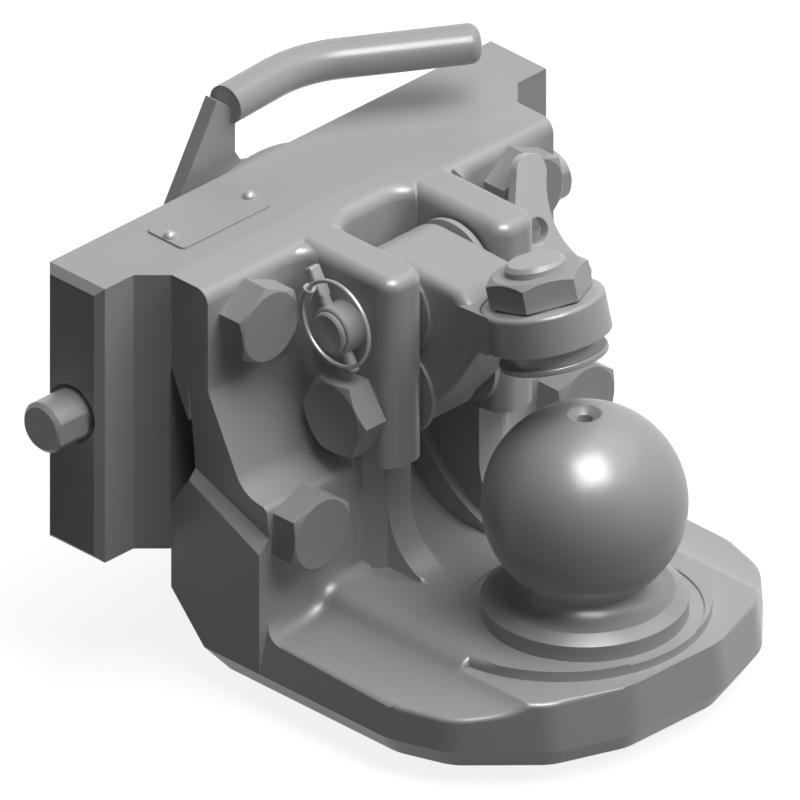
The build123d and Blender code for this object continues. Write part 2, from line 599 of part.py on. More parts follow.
def hold_down():
    """Lever between the ears: hinge boss, heel over the stop bolt, arm and the tilted eye."""
    boss_back = PIN_Y + PIN_BOSS_R
    heel_back = STOP_Y + STOP_BOSS_R
    heel_low = STOP_Z - STOP_BOSS_R
    side_view = [(boss_back, ARM_TOP), (-102.0, ARM_TOP - 2.0), (-109.0, 48.2), along(EYE_TOP)[1:], along(EYE_LOW)[1:],
                 (-116.0, 33.9), (-107.0, 20.0), (-99.0, 7.0), (-83.0, -12.0), (-78.5, heel_low + 1.5),
                 (heel_back, heel_low), (heel_back, STOP_Z), (boss_back, PIN_Z - 8)]
    rounds = [((boss_back, ARM_TOP), 18.0), ((heel_back, heel_low), 16.5), ((-78.5, heel_low + 1.5), 6.0)]
    arm = prism_x(side_view, -ARM_HALF, ARM_HALF, rounds)
    rims = arm.edges().filter_by(lambda e: abs(abs(e.center().X) - ARM_HALF) < 0.01 and e.center().Y > -108)
    arm = fillet(rims, ARM_ROUND)
    neck = [(-ARM_HALF, -104.0), (-EYE_R + 0.6, -127.0), (EYE_R - 0.6, -127.0), (ARM_HALF, -104.0)]
    slab = Plane(origin=along(EYE_LOW), x_dir=(1, 0, 0), z_dir=along_axis()) * box(-30, 30, 0, 60, 0, EYE_TOP - EYE_LOW)
    arm += prism_z(neck, 0, 60) & slab
    eye = rod(EYE_R, along(EYE_LOW), along(EYE_TOP))
    eye = fillet(eye.edges().filter_by(GeomType.CIRCLE).sort_by(Axis.Z)[-1], 2.0)
    arm -= rod(EYE_R, along(EYE_TOP - 2), along(EYE_TOP + 30))
    arm += eye
    for radius, y, z in ((PIN_BOSS_R, PIN_Y, PIN_Z), (STOP_BOSS_R, STOP_Y, STOP_Z)):
        cheek = rod(radius, (-CHEEK_HALF, y, z), (CHEEK_HALF, y, z))
        arm += cheek - box(-ARM_HALF + 1, ARM_HALF - 1, y - 60, y + 60, z - 60, z + 60)
    notch = M20_R + GAP
    swing = math.hypot(STOP_Y - PIN_Y, STOP_Z - PIN_Z)
    track = rod(swing + notch, (-30, PIN_Y, PIN_Z), (30, PIN_Y, PIN_Z))
    track -= rod(swing - notch, (-31, PIN_Y, PIN_Z), (31, PIN_Y, PIN_Z))
    start = Plane(origin=(0, PIN_Y, PIN_Z), x_dir=(1, 0, 0), z_dir=(0, PIN_Z - STOP_Z, STOP_Y - PIN_Y))
    track &= extrude(start * Rectangle(80, 160), 80)
    track &= box(-30, 30, PIN_Y - 30, PIN_Y + 80, PIN_Z - 80, PIN_Z)
    arm -= track + rod(notch, (-30, STOP_Y, STOP_Z), (30, STOP_Y, STOP_Z))
    arm -= rod(PIN_R + FIT, (-30, PIN_Y, PIN_Z), (30, PIN_Y, PIN_Z))
    arm -= rod(SCREW_R + FIT, along(EYE_LOW - 5), along(EYE_TOP + 5))
    return arm


def grip_plane():
    """Plane of the grip plate's front face, facing the ball and leaning back."""
    lean = math.radians(GRIP_TILT)
    return Plane(origin=GRIP_HOLE, x_dir=(1, 0, 0), z_dir=(0, -math.cos(lean), math.sin(lean)))


def grip_plate():
    """Waisted plate let into the end of the hinge pin, with a round top and one hole."""
    outline = [Spline((-2.6, 24.0), (-6.0, 16.6), (-9.5, 9.0), (-15.2, 1.0)), Line((-15.2, 1.0), (-15.2, -13.0)),
               Line((-15.2, -13.0), (0.0, -18.5)), Spline((0.0, -18.5), (8.0, -25.0), (16.0, -27.5), (20.6, -24.5), (20.0, -21.0)),
               Spline((20.0, -21.0), (15.6, -15.5), (11.4, -8.0), (8.9, 3.0), (9.3, 10.6), (12.4, 20.0)),
               ThreePointArc((12.4, 20.0), (6.6, 29.6), (-2.6, 24.0))]
    plate = extrude(grip_plane() * make_face(outline), -GRIP_T)
    hole = extrude(grip_plane() * Circle(GRIP_HOLE_R), GRIP_T * 2, both=True)
    return plate - hole


def linch(t):
    """Point on the linch pin's axis, measured from the hinge pin's axis towards the linch pin's head."""
    lean = math.radians(LINCH_TILT)
    return (LINCH_X, PIN_Y + t * math.sin(lean), PIN_Z + t * math.cos(lean))


def hinge_pin():
    """Pin through both ears, stepped at its left end, cross-drilled for the linch pin and let into the grip plate."""
    body = rod(PIN_R, (-EAR_OUT - 9.0, PIN_Y, PIN_Z), (PIN_RIGHT, PIN_Y, PIN_Z))
    tip = rod(PIN_NECK_R, (PIN_LEFT, PIN_Y, PIN_Z), (-EAR_OUT - 8.0, PIN_Y, PIN_Z))
    tip = chamfer(tip.edges().filter_by(GeomType.CIRCLE).sort_by(Axis.X)[0], 0.8)
    body = chamfer(body.edges().filter_by(GeomType.CIRCLE).sort_by(Axis.X)[0], 0.6) + tip
    slot = extrude(grip_plane() * Pos(15, 0) * Rectangle(60.4, 80), -GRIP_T)
    return body - slot - rod(LINCH_R + FIT, linch(-14), linch(14))


def ring_hinge():
    """Middle of the ring's hinge, and the directions along it and from it to the ring's centre, as (y, z)."""
    x, y, z = linch(LINCH_HEAD)
    out = math.atan2(z - RING_CENTRE[1], y - RING_CENTRE[0])
    chord = math.sqrt(RING_R ** 2 - (RING_EYE_HALF + 0.8) ** 2)
    middle = (RING_CENTRE[0] + chord * math.cos(out), RING_CENTRE[1] + chord * math.sin(out))
    return middle, (-math.sin(out), math.cos(out)), (-math.cos(out), -math.sin(out))


def hinge_rod(radius, half):
    """Round bar along the ring's hinge, reaching the same distance each way."""
    (y, z), (ty, tz), inward = ring_hinge()
    return rod(radius, (RING_X, y - ty * half, z - tz * half), (RING_X, y + ty * half, z + tz * half))


def linch_pin():
    """Linch pin with a round tip, a small block for a head and the ring's eye on an arm beside it."""
    body = rod(LINCH_R, linch(-LINCH_REACH), linch(LINCH_HEAD))
    body = fillet(body.edges().filter_by(GeomType.CIRCLE).sort_by(Axis.Z)[0], LINCH_R * 0.8)
    lean = math.radians(LINCH_TILT)
    place = Plane(origin=linch(LINCH_HEAD), x_dir=(1, 0, 0), z_dir=(0, math.sin(lean), math.cos(lean)))
    block = fillet((place * Box(LINCH_HEAD_W, LINCH_HEAD_T, LINCH_HEAD_L)).edges(), 1.2)
    (y, z), along_hinge, inward = ring_hinge()
    arm = rod(EYE_ARM_R, linch(LINCH_HEAD), (RING_X, y, z))
    head = block + arm + hinge_rod(RING_EYE_R, RING_EYE_HALF)
    return body + head - hinge_rod(RING_PIN_R + FIT, RING_EYE_HALF + 9)


def linch_ring():
    """Wire ring with a straight hinge bar that runs in the linch pin's eye."""
    half_gap = math.degrees(math.asin((RING_EYE_HALF + 0.8) / RING_R))
    (y, z), along_hinge, inward = ring_hinge()
    middle = Plane(origin=(RING_X, *RING_CENTRE), x_dir=(0, -inward[0], -inward[1]), z_dir=(1, 0, 0))
    section = middle * Rot(0, 0, half_gap) * Pos(RING_R, 0, 0) * Rot(90, 0, 0) * Circle(RING_WIRE_R)
    loop = revolve(section, Axis((RING_X, *RING_CENTRE), (1, 0, 0)), 360 - 2 * half_gap)
    return loop + hinge_rod(RING_PIN_R, RING_EYE_HALF + 1.4)


def clamp_screw():
    """M24 screw with the pressure pad on its lower end."""
    body = rod(SCREW_R, along(PAD_LOW + PAD_RIM_T), along(SCREW_TOP))
    body = chamfer(body.edges().filter_by(GeomType.CIRCLE).sort_by(Axis.Z)[-1], 1.6)
    neck = rod(PAD_NECK_R, along(PAD_LOW + PAD_RIM_T), along(EYE_LOW - GAP))
    rim = rod(PAD_RIM_R, along(PAD_LOW), along(PAD_LOW + PAD_RIM_T))
    rim = fillet(rim.edges().filter_by(GeomType.CIRCLE), 0.8)
    return body + neck + rim - Pos(0, BALL_Y, BALL_Z) * Sphere(PAD_LOW + 1.8)


def clamp_nut():
    """M24 nut with a washer face, chamfered above."""
    nut = hexagon(NUT24_AF, along(EYE_TOP + 0.8), along(EYE_TOP + NUT24_H), NUT24_TURN)
    nut += rod(NUT24_AF / 2 - 0.8, along(EYE_TOP), along(EYE_TOP + 0.8))
    return nut - rod(SCREW_R + FIT, along(EYE_TOP - 1), along(EYE_TOP + NUT24_H + 1))


def stop_bolt():
    """M20 bolt under the hinge pin, through the left ear and screwed into the right one."""
    seat = -EAR_OUT
    shank = rod(M20_R, (seat, STOP_Y, STOP_Z), (EAR_OUT + 2.0, STOP_Y, STOP_Z))
    return shank + hexagon(M20_AF, (seat, STOP_Y, STOP_Z), (seat - M20_HEAD, STOP_Y, STOP_Z), STOP_TURN)


def nameplate():
    """Bare plate on top of the slide plate, with rounded corners."""
    blank = Pos(NAME_X, NAME_Y, PLATE_TOP) * Box(NAME_L, NAME_W, NAME_T, align=(Align.CENTER, Align.CENTER, Align.MIN))
    blank = fillet(blank.edges().filter_by(Axis.Z), 2.5)
    for side in (-1, 1):
        x = NAME_X + side * NAME_RIVET_X
        blank -= rod(RIVET_SHANK_R, (x, NAME_Y, PLATE_TOP - 1), (x, NAME_Y, PLATE_TOP + 2))
    return blank


def nameplate_rivets():
    """Two round-head rivets, one solid each."""
    rivets = []
    for side in (-1, 1):
        x = NAME_X + side * NAME_RIVET_X
        base = PLATE_TOP + NAME_T
        dome = Pos(x, NAME_Y, base) * Sphere(RIVET_R) & box(x - 9, x + 9, NAME_Y - 9, NAME_Y + 9, base, base + 9)
        rivets.append(dome + rod(RIVET_SHANK_R, (x, NAME_Y, PLATE_TOP - RIVET_DEPTH), (x, NAME_Y, base)))
    return Compound(children=rivets)


NODES = {
    "slide_plate": slide_plate,
    "locking_bolt_left": lambda: locking_bolt(-1),
    "locking_bolt_right": lambda: locking_bolt(1),
    "follower_left": lambda: follower(-1),
    "follower_right": lambda: follower(1),
    "cam_disc": cam_disc,
    "lever_plate": lever_plate,
    "bar_handle": lambda: bar_handle() - lever_plate(),
    "pivot_bolt": pivot_bolt,
    "pivot_washer": pivot_washer,
    "bracket": bracket,
    "mounting_bolts": mounting_bolts,
    "ball_stud": ball_stud,
    "stud_disc": stud_disc,
    "stud_screw": stud_screw,
    "hold_down": hold_down,
    "hinge_pin": hinge_pin,
    "grip_plate": grip_plate,
    "linch_pin": linch_pin,
    "linch_ring": linch_ring,
    "clamp_screw": clamp_screw,
    "clamp_nut": clamp_nut,
    "stop_bolt": stop_bolt,
    "nameplate": nameplate,
    "nameplate_rivets": nameplate_rivets,
}

for node_name, make in NODES.items():
    save(make(), node_name)
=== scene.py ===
"""Looks, light and camera for the tractor ball hitch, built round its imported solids."""

from __future__ import annotations

import json
import logging
import math
from dataclasses import dataclass
from enum import Enum
from typing import Any

import bmesh
import bpy
from mathutils import Matrix, Vector

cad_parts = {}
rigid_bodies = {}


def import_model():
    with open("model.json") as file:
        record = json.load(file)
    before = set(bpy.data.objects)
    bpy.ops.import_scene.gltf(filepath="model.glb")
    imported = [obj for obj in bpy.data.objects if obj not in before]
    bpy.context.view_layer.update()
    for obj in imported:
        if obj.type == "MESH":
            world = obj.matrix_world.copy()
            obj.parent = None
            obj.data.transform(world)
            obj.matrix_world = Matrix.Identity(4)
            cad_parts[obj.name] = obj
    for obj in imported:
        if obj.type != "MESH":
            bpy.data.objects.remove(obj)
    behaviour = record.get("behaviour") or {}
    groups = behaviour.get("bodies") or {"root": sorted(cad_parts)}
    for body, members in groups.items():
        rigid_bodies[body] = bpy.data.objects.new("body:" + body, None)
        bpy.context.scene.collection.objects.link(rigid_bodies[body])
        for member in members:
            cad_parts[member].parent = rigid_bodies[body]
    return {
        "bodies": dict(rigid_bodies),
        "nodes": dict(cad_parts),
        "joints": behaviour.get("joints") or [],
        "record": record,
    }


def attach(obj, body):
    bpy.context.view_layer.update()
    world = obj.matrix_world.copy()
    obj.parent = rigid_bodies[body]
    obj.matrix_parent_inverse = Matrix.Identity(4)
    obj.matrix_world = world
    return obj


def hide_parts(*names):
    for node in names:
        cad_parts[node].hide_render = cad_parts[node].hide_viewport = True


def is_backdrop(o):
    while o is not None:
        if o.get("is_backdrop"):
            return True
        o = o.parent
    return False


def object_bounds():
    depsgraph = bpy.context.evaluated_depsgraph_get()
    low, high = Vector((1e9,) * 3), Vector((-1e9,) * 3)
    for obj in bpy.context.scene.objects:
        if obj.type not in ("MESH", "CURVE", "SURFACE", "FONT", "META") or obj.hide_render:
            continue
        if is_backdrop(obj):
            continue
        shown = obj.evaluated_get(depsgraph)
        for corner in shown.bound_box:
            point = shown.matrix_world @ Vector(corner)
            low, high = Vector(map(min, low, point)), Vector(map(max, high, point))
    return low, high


LOG = logging.getLogger("ball_hitch")
MM = 0.001

# Cleaning of a copied mesh: vertices nearer than this are one, edges shorter than this go, and
# faces that meet at less than this angle are one flat face.
WELD_M = 2e-6
DEGENERATE_M = 1e-6
FLAT_DEG = 0.6

# Faces that meet at less than these angles are shaded as one surface.
PLAIN_SMOOTH_DEG = 32.0
CAST_SMOOTH_DEG = 30.0
HEXAGON_SMOOTH_DEG = 24.0
ROUND_SMOOTH_DEG = 40.0

EDGE_SEGMENTS = 2
RIM_SEGMENTS = 4

# Rim edges: the steepest slope of a side, the flattest of an upper face, the least angle.
SIDE_NORMAL_Z = 0.4
UPPER_NORMAL_Z = 0.6
RIM_EDGE_DEG = 35.0

# Slow drift of tone and roughness over a piece.
DRIFT_MM = 45.0
DRIFT_DETAIL = 2.0
ROUGHNESS_DRIFT = 0.05
GRAIN_DETAIL = 3.0

# Sockets of the Mix node in its colour mode, where names repeat.
MIX_FACTOR, MIX_A, MIX_B, MIX_RESULT = 0, 6, 7, 2

WHITE = (1.0, 1.0, 1.0, 1.0)
FLOOR_SEEN = (0.30, 0.30, 0.30, 1.0)
FLOOR_LIT = (0.08, 0.08, 0.08, 1.0)
FLOOR_GLOW = 0.86
FLOOR_HALF_M = 6.0
WORLD_SEEN = 1.0
WORLD_LIT = 0.015


class Surface(Enum):
    """How a surface was made, which sets the pattern of its relief."""

    CAST = "cast"
    ROLLED = "rolled"
    MACHINED = "machined"
    DRAWN = "drawn"


# Scale of the relief along x, y and z: below 1 the grain is drawn out that way.
GRAIN_STRETCH = {
    Surface.CAST: (1, 1, 1),
    Surface.ROLLED: (0.25, 1, 1),
    Surface.MACHINED: (1, 1, 1),
    Surface.DRAWN: (0.2, 1, 1),
}


@dataclass(frozen=True)
class Finish:
    """One real material with the surface that its making gave it.

    Args:
        name: The material's common name and how its surface was made.
        colour: Its colour as an sRGB hex value.
        surface: The way it was made.
        metallic: The shader's metallic value.
        roughness: The mean roughness.
        grain_mm: Real spacing of the relief in mm, or the coarsest that still shows.
        relief_mm: Depth of the relief in mm.
        gloss: The shader's specular level; 0.5 is plain enamel, less is a flatter coat.
        mottle: How far the colour drifts over the piece, from 0 to 1.
    """

    name: str
    colour: str
    surface: Surface
    metallic: float
    roughness: float
    grain_mm: float
    relief_mm: float
    gloss: float = 0.3
    mottle: float = 0.04


# Enamel sprayed over a fettled sand casting: soft broad highlights on the rounds and a faint
# orange-peel grain of real size.
CASTING_PAINT = Finish("grey enamel sprayed on sand-cast iron", "#B1B0B2", Surface.CAST,
                       metallic=0.0, roughness=0.34, grain_mm=1.6, relief_mm=0.012, gloss=0.30)
# Enamel over a forging: as the casting, but smoother.
ARM_PAINT = Finish("grey enamel sprayed on forged steel", "#B1B0B2", Surface.CAST,
                   metallic=0.0, roughness=0.34, grain_mm=2.2, relief_mm=0.008, gloss=0.30)
# Enamel on sawn and milled plate: flat faces with an even tone and a faint grain along it.
PLATE_PAINT = Finish("grey enamel sprayed on milled steel plate", "#B0AFB1", Surface.ROLLED,
                     metallic=0.0, roughness=0.36, grain_mm=1.2, relief_mm=0.008, gloss=0.12)
# Enamel on bent bar and cut sheet: the bar's highlight is long and clean.
LEVER_PAINT = Finish("grey enamel sprayed on drawn bar", "#AFAEB0", Surface.DRAWN,
                     metallic=0.0, roughness=0.30, grain_mm=1.2, relief_mm=0.006, gloss=0.20)
# The metals below are matt grey in the photo, with no mirror in them, so their metallic value is
# matched down to near 0. Turning, drawing and polishing marks of 0.1 to 0.2 mm are too fine to
# show, and are drawn as coarse as they need to show.
# Forged bolt steel, lightly oiled: a little darker than the paint, with dull flat faces.
BOLT_STEEL = Finish("bolt steel, forged and oiled", "#A9A8AA", Surface.ROLLED,
                    metallic=0.0, roughness=0.36, grain_mm=1.4, relief_mm=0.006, gloss=0.12)
# Turned and polished steel: the ball's highlight is soft at its edge and bright in the middle.
BALL_STEEL = Finish("ball steel, turned and polished", "#ACABAD", Surface.MACHINED,
                    metallic=0.03, roughness=0.33, grain_mm=0.9, relief_mm=0.002, gloss=0.2)
# Turned bright bar: narrow bright lines along pins.
PIN_STEEL = Finish("bright steel, turned", "#B4B3B5", Surface.MACHINED,
                   metallic=0.03, roughness=0.30, grain_mm=0.9, relief_mm=0.003, gloss=0.3)
# Zinc-plated sheet: lighter and more even than the paint behind it.
ZINC_SHEET = Finish("zinc-plated sheet steel", "#D2D1D3", Surface.ROLLED,
                    metallic=0.0, roughness=0.42, grain_mm=1.5, relief_mm=0.004, gloss=0.15)
# Drawn spring wire, oiled: the one thin bright line in the picture.
SPRING_WIRE = Finish("spring wire, drawn and oiled", "#B0AFB1", Surface.DRAWN,
                     metallic=0.2, roughness=0.32, grain_mm=0.8, relief_mm=0.002, gloss=0.5)
# Soft aluminium rivets: small bright domes.
RIVET_METAL = Finish("aluminium drive rivet, upset", "#C4C3C5", Surface.DRAWN,
                     metallic=0.1, roughness=0.30, grain_mm=0.8, relief_mm=0.002, gloss=0.5)


@dataclass(frozen=True)
class SoftZone:
    """A block of space in which the rim edges of a piece are rounded more.

    A rim edge lies between one of the piece's outer sides and one of its upper faces.

    Args:
        low: Its lower corner in mm; the block is mirrored across the middle plane.
        high: Its upper corner in mm.
        middle_y: Where the middle of the piece lies; sides that face it are left alone.
        width_mm: Width of the bevel there.
        spare: Centre and radius in plan, in mm, of a round seat whose edges stay sharp.
    """

    low: tuple[float, float, float]
    high: tuple[float, float, float]
    middle_y: float
    width_mm: float
    spare: tuple[float, float, float] = (0.0, 0.0, 0.0)

    def takes(self, edge: bmesh.types.BMEdge) -> bool:
        """Tell whether an edge is a rim edge in the zone.

        Args:
            edge: The edge.

        Returns:
            True if it is.
        """
        middle = (edge.verts[0].co + edge.verts[1].co) / 2 / MM
        place = (abs(middle.x), middle.y, middle.z)
        inside = all(a <= c <= b for a, c, b in zip(self.low, place, self.high))
        seat_x, seat_y, seat_radius = self.spare
        seat = math.hypot(middle.x - seat_x, middle.y - seat_y) < seat_radius
        if seat or not (inside and edge.is_manifold and edge.is_convex):
            return False
        normals = (face.normal for face in edge.link_faces)
        side, upper = sorted(normals, key=lambda normal: normal.z)
        outward = side.x * middle.x + side.y * (middle.y - self.middle_y)
        turns = side.z < SIDE_NORMAL_Z and upper.z > UPPER_NORMAL_Z
        sharp = edge.calc_face_angle(0.0) > math.radians(RIM_EDGE_DEG)
        return turns and outward > 0 and sharp


def linear(hex_colour: str) -> tuple[float, float, float, float]:
    """Turn an sRGB hex value to the linear colour that a shader takes.

    Args:
        hex_colour: Six hex digits after a hash sign.

    Returns:
        Linear red, green, blue and an alpha of 1.
    """
    channels = [int(hex_colour[i:i + 2], 16) / 255 for i in (1, 3, 5)]
    red, green, blue = (c / 12.92 if c <= 0.04045 else ((c + 0.055) / 1.055) ** 2.4
                        for c in channels)
    return (red, green, blue, 1.0)


def add_node(tree: bpy.types.NodeTree, kind: str, settings: dict[str, Any] | None = None,
             links: dict[str | int, bpy.types.NodeSocket] | None = None) -> bpy.types.Node:
    """Add a shader node with its settings and its links.

    Args:
        tree: The node tree.
        kind: The node's Blender type name.
        settings: Socket values by socket name, or attribute values by attribute name.
        links: Sockets of other nodes by the name or index of the input that they feed.

    Returns:
        The new node.
    """
    node = tree.nodes.new(kind)
    for name, value in (settings or {}).items():
        if name in node.inputs:
            node.inputs[name].default_value = value
        else:
            setattr(node, name, value)
    for name, socket in (links or {}).items():
        tree.links.new(socket, node.inputs[name])
    return node


def seen_directly(tree: bpy.types.NodeTree) -> bpy.types.NodeSocket:
    """Tell rays that show the background from those that light the object.

    The background is shown when it is seen straight, in metal or through glass.

    Args:
        tree: The node tree of the floor or the world.

    Returns:
        A socket that is 1 for camera, glossy and transmission rays and else 0.
    """
    path = add_node(tree, "ShaderNodeLightPath").outputs
    add = {"operation": "ADD", "use_clamp": True}
    two = add_node(tree, "ShaderNodeMath", add,
                   {0: path["Is Camera Ray"], 1: path["Is Glossy Ray"]})
    three = add_node(tree, "ShaderNodeMath", add,
                     {0: two.outputs[0], 1: path["Is Transmission Ray"]})
    return three.outputs[0]


def material_for(finish: Finish) -> bpy.types.Material:
    """Make the material of a finish, once.

    Args:
        finish: The finish.

    Returns:
        Its material.
    """
    known = bpy.data.materials.get(finish.name)
    if known:
        return known
    material = bpy.data.materials.new(finish.name)
    material.use_nodes = True
    tree = material.node_tree
    tree.nodes.clear()
    place = add_node(tree, "ShaderNodeTexCoord").outputs["Object"]
    mapped = add_node(tree, "ShaderNodeMapping", {"Scale": GRAIN_STRETCH[finish.surface]},
                      {"Vector": place})
    grain = add_node(tree, "ShaderNodeTexNoise",
                     {"Scale": 1 / (finish.grain_mm * MM), "Detail": GRAIN_DETAIL},
                     {"Vector": mapped.outputs["Vector"]})
    drift = add_node(tree, "ShaderNodeTexNoise",
                     {"Scale": 1 / (DRIFT_MM * MM), "Detail": DRIFT_DETAIL}, {"Vector": place})
    rough = add_node(tree, "ShaderNodeMapRange",
                     {"From Min": 0.0, "From Max": 1.0,
                      "To Min": finish.roughness - ROUGHNESS_DRIFT,
                      "To Max": finish.roughness + ROUGHNESS_DRIFT},
                     {"Value": drift.outputs["Fac"]})
    base = linear(finish.colour)
    colour = add_node(tree, "ShaderNodeMix", {"data_type": "RGBA"},
                      {MIX_FACTOR: drift.outputs["Fac"]})
    colour.inputs[MIX_A].default_value = base
    colour.inputs[MIX_B].default_value = tuple(c * (1 - finish.mottle) for c in base[:3]) + (1.0,)
    bump = add_node(tree, "ShaderNodeBump",
                    {"Strength": 1.0, "Distance": finish.relief_mm * MM},
                    {"Height": grain.outputs["Fac"]})
    shader = add_node(tree, "ShaderNodeBsdfPrincipled",
                      {"Metallic": finish.metallic, "Specular IOR Level": finish.gloss},
                      {"Base Color": colour.outputs[MIX_RESULT],
                       "Roughness": rough.outputs["Result"],
                       "Normal": bump.outputs["Normal"]})
    add_node(tree, "ShaderNodeOutputMaterial", None, {"Surface": shader.outputs["BSDF"]})
    return material


def body_of_node(record: dict[str, Any], node: str) -> str:
    """Name the rigid body that a node belongs to.

    Args:
        record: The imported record.
        node: The node's name.

    Returns:
        The body's name.
    """
    for body, nodes in record["behaviour"]["bodies"].items():
        if node in nodes:
            return body
    return "root"


@dataclass
class Assembly:
    """A group of pieces that share a frame, with the methods that dress them.
    """

    frame: dict[str, Any]

    def shell_of(self, node: str, zones: tuple[SoftZone, ...]) -> bmesh.types.BMesh:
        """Copy a CAD node's mesh, merged and cleaned, with its rims rounded.

        Args:
            node: The CAD node.
            zones: Where its rim edges take a wider bevel.

        Returns:
            The copy, which the caller frees.
        """
        shell = bmesh.new()
        shell.from_mesh(self.frame["nodes"][node].data)
        bmesh.ops.remove_doubles(shell, verts=shell.verts, dist=WELD_M)
        bmesh.ops.dissolve_degenerate(shell, dist=DEGENERATE_M, edges=shell.edges)
        bmesh.ops.dissolve_limit(shell, angle_limit=math.radians(FLAT_DEG), verts=shell.verts,
                                 edges=shell.edges, use_dissolve_boundaries=False)
        for zone in zones:
            rim = [edge for edge in shell.edges if zone.takes(edge)]
            bmesh.ops.bevel(shell, geom=rim, offset=zone.width_mm * MM, offset_type="OFFSET",
                            segments=RIM_SEGMENTS, profile=0.5, affect="EDGES",
                            clamp_overlap=False, material=-1)
        return shell

    def dress(self, node: str, finish: Finish, edge_mm: float,
              smooth_deg: float = PLAIN_SMOOTH_DEG, zones: tuple[SoftZone, ...] = ()) -> None:
        """Stand a smooth-shaded copy with softened edges in for a CAD node.

        Args:
            node: The CAD node.
            finish: The finish that it takes.
            edge_mm: Width of the bevel on its sharp edges, or 0 for none.
            smooth_deg: Faces that meet at less than this are shaded as one surface.
            zones: Where rim edges take a wider bevel.
        """
        shell = self.shell_of(node, zones)
        sharp = math.radians(smooth_deg)
        for face in shell.faces:
            face.smooth = True
        for edge in shell.edges:
            edge.smooth = not (edge.is_manifold and edge.calc_face_angle(0.0) > sharp)
        mesh = bpy.data.meshes.new(f"{node}_look")
        shell.to_mesh(mesh)
        shell.free()
        piece = bpy.data.objects.new(f"{node}_look", mesh)
        bpy.context.scene.collection.objects.link(piece)
        mesh.materials.append(material_for(finish))
        if edge_mm > 0:
            bevel = piece.modifiers.new("soft edges", "BEVEL")
            bevel.width = edge_mm * MM
            bevel.segments = EDGE_SEGMENTS
            bevel.limit_method = "ANGLE"
            bevel.angle_limit = sharp
            bevel.use_clamp_overlap = True
        even = piece.modifiers.new("even shading", "WEIGHTED_NORMAL")
        even.keep_sharp = edge_mm <= 0
        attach(piece, body_of_node(self.frame["record"], node))
        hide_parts(node)
        LOG.info("%s dressed as %s", node, finish.name)


@dataclass
class SlidePlate(Assembly):
    """The plate that rides in the tractor's ladder frame, with what is fixed to it."""

    def build(self) -> None:
        """Dress the plate, the lock's pivot bolt and washer, and the nameplate."""
        self.dress("slide_plate", PLATE_PAINT, 0.35)
        self.dress("pivot_bolt", BOLT_STEEL, 0.3)
        self.dress("pivot_washer", BOLT_STEEL, 0.2)
        self.dress("nameplate", PLATE_PAINT, 0.12)
        self.dress("nameplate_rivets", RIVET_METAL, 0.0, ROUND_SMOOTH_DEG)


@dataclass
class LockingGear(Assembly):
    """The cam, its lever and bar handle, and the two locking bolts."""

    def build(self) -> None:
        """Dress every moving piece of the lock."""
        self.dress("cam_disc", PLATE_PAINT, 0.3)
        self.dress("lever_plate", LEVER_PAINT, 0.3)
        self.dress("bar_handle", LEVER_PAINT, 0.0, ROUND_SMOOTH_DEG)
        for side in ("left", "right"):
            self.dress(f"locking_bolt_{side}", PIN_STEEL, 0.3)
            self.dress(f"follower_{side}", PIN_STEEL, 0.0)


@dataclass
class Bracket(Assembly):
    """The casting and the four bolts that hold it."""

    def build(self) -> None:
        """Dress the casting, whose shelf has a rounder rim, and its bolts."""
        rim = SoftZone(low=(0, -212, -86), high=(95, -83, -71), middle_y=-120.0, width_mm=2.0,
                       spare=(0.0, -156.0, 56.0))
        self.dress("bracket", CASTING_PAINT, 0.8, CAST_SMOOTH_DEG, (rim,))
        self.dress("mounting_bolts", BOLT_STEEL, 0.35, HEXAGON_SMOOTH_DEG)


@dataclass
class BallStud(Assembly):
    """The ball on its stud, with what holds it from below."""

    def build(self) -> None:
        """Dress the ball, the retaining disc and the screw."""
        self.dress("ball_stud", BALL_STEEL, 0.3)
        self.dress("stud_disc", PLATE_PAINT, 0.3)
        self.dress("stud_screw", BOLT_STEEL, 0.3, HEXAGON_SMOOTH_DEG)


@dataclass
class HoldDown(Assembly):
    """The hinged lever over the ball, its clamp screw, pins, stop bolt and linch pin."""

    def build(self) -> None:
        """Dress the lever and everything that goes through it or stops it."""
        self.dress("hold_down", ARM_PAINT, 0.8, CAST_SMOOTH_DEG)
        self.dress("clamp_screw", PIN_STEEL, 0.3)
        self.dress("clamp_nut", BOLT_STEEL, 0.3, HEXAGON_SMOOTH_DEG)
        self.dress("hinge_pin", PIN_STEEL, 0.3)
        self.dress("grip_plate", ZINC_SHEET, 0.35)
        self.dress("stop_bolt", BOLT_STEEL, 0.35, HEXAGON_SMOOTH_DEG)
        self.dress("linch_pin", PIN_STEEL, 0.0)
        self.dress("linch_ring", SPRING_WIRE, 0.0)


@dataclass(frozen=True)
class Lamp:
    """A soft square lamp that aims at the hitch.

    Args:
        name: The lamp's name.
        direction: Direction from the hitch to the lamp.
        size: Side of the lamp in metres.
        watts: Its power.
        away: Its distance from the hitch in metres.
        sheen_only: Whether it shows in highlights alone and leaves the matt tones as they are.
    """

    name: str
    direction: tuple[float, float, float]
    size: float
    watts: float
    away: float = 1.2
    sheen_only: bool = False


LAMPS = (
    Lamp("overhead", (0.30, -0.30, 1.0), size=2.6, watts=70.0, away=2.4),
    Lamp("sheen", (-0.21, -0.45, 0.87), size=0.65, watts=48.0, sheen_only=True),
    Lamp("front", (0.35, -1.0, 0.8), size=0.8, watts=1.4),
    Lamp("back", (0.3, 1.0, 0.5), size=0.8, watts=1.6),
)


